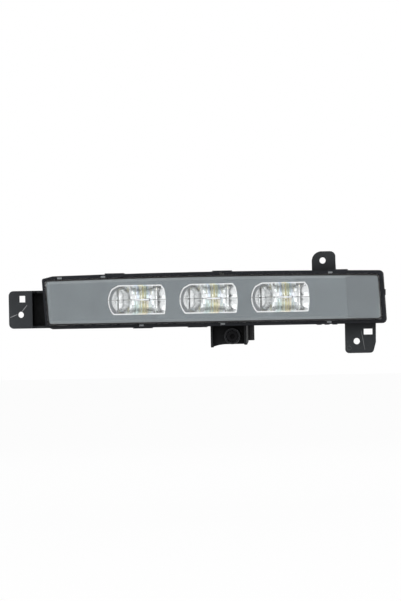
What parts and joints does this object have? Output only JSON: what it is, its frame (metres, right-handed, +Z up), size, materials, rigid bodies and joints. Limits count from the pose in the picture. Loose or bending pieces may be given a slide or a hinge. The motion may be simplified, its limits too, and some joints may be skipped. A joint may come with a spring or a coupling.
{
  "type": "auxiliary driving light",
  "caption": "Long slim driving light: clear bowed lens on a black rim, satin bezel with faceted mirror cells, plastic housing with bolt tabs and a screw-aimed swinging carrier.",
  "frame": {"origin": "middle of the lens's front face, at the middle of its length", "axes": "+X along the lens to the right as seen from the front, +Y to the back, +Z up as fitted"},
  "size_m": [0.3864, 0.089, 0.1042],
  "materials": {
    "lens_clear": "clear, polished",
    "rim_black": "black, satin gloss",
    "housing_plastic": "matte charcoal",
    "bezel_satin": "satin grey",
    "reflector_bright": "bright metallised",
    "light_board": "dark board",
    "emitter": "yellow phosphor",
    "sink_metal": "plain cast",
    "carrier_metal": "plain cast",
    "steel": "bright",
    "stud_plastic": "natural white",
    "knob_plastic": "matte black",
    "circuit_board": "green board",
    "component_body": "dull black",
    "plug_plastic": "black",
    "contact_metal": "bright",
    "vent_rubber": "dull black",
    "sealant": "dull black"
  },
  "bodies": {
    "housing_body": {"housing": "housing_plastic", "upper_tab": "housing_plastic", "lower_tab": "housing_plastic", "side_tab": "housing_plastic", "lens": "lens_clear", "lens_rim": "rim_black", "lens_seal": "sealant", "bezel": "bezel_satin", "driver_board": "circuit_board", "driver_components": "component_body", "plug_socket": "plug_plastic", "plug_seal": "sealant", "plug_pins": "contact_metal", "vent_cap": "vent_rubber"},
    "knob_body": {"aim_knob": "knob_plastic", "knob_keeper": "steel"},
    "stud_body": {"aim_stud": "stud_plastic"},
    "carrier_body": {"carrier": "carrier_metal", "pivot_pin_left": "steel", "pivot_pin_right": "steel", "reflector_1": "reflector_bright", "reflector_2": "reflector_bright", "reflector_3": "reflector_bright", "led_board_1": "light_board", "led_board_2": "light_board", "led_board_3": "light_board", "led_emitters_1": "emitter", "led_emitters_2": "emitter", "led_emitters_3": "emitter", "heat_sink_1": "sink_metal", "heat_sink_2": "sink_metal", "heat_sink_3": "sink_metal"}
  },
  "joints": [
    {"name": "knob_turn", "type": "hinge", "parent": "housing_body", "child": "knob_body", "pos_m": [0.018, 0.03, -0.0375], "axis": [0, 1, 0], "range_deg": [-540, 540]},
    {"name": "stud_slide", "type": "slide", "parent": "housing_body", "child": "stud_body", "axis": [0, 1, 0], "range_m": [-0.0016, 0.0016]},
    {"name": "carrier_tilt", "type": "hinge", "parent": "housing_body", "child": "carrier_body", "pos_m": [0, 0.046, 0.0015], "axis": [1, 0, 0], "range_deg": [-2.2, 2.2]}
  ],
  "couplings": [
    {"joint": "stud_slide", "follows": "carrier_tilt", "m_per_rad": 0.039},
    {"joint": "knob_turn", "follows": "carrier_tilt", "ratio": 245.04}
  ]
}
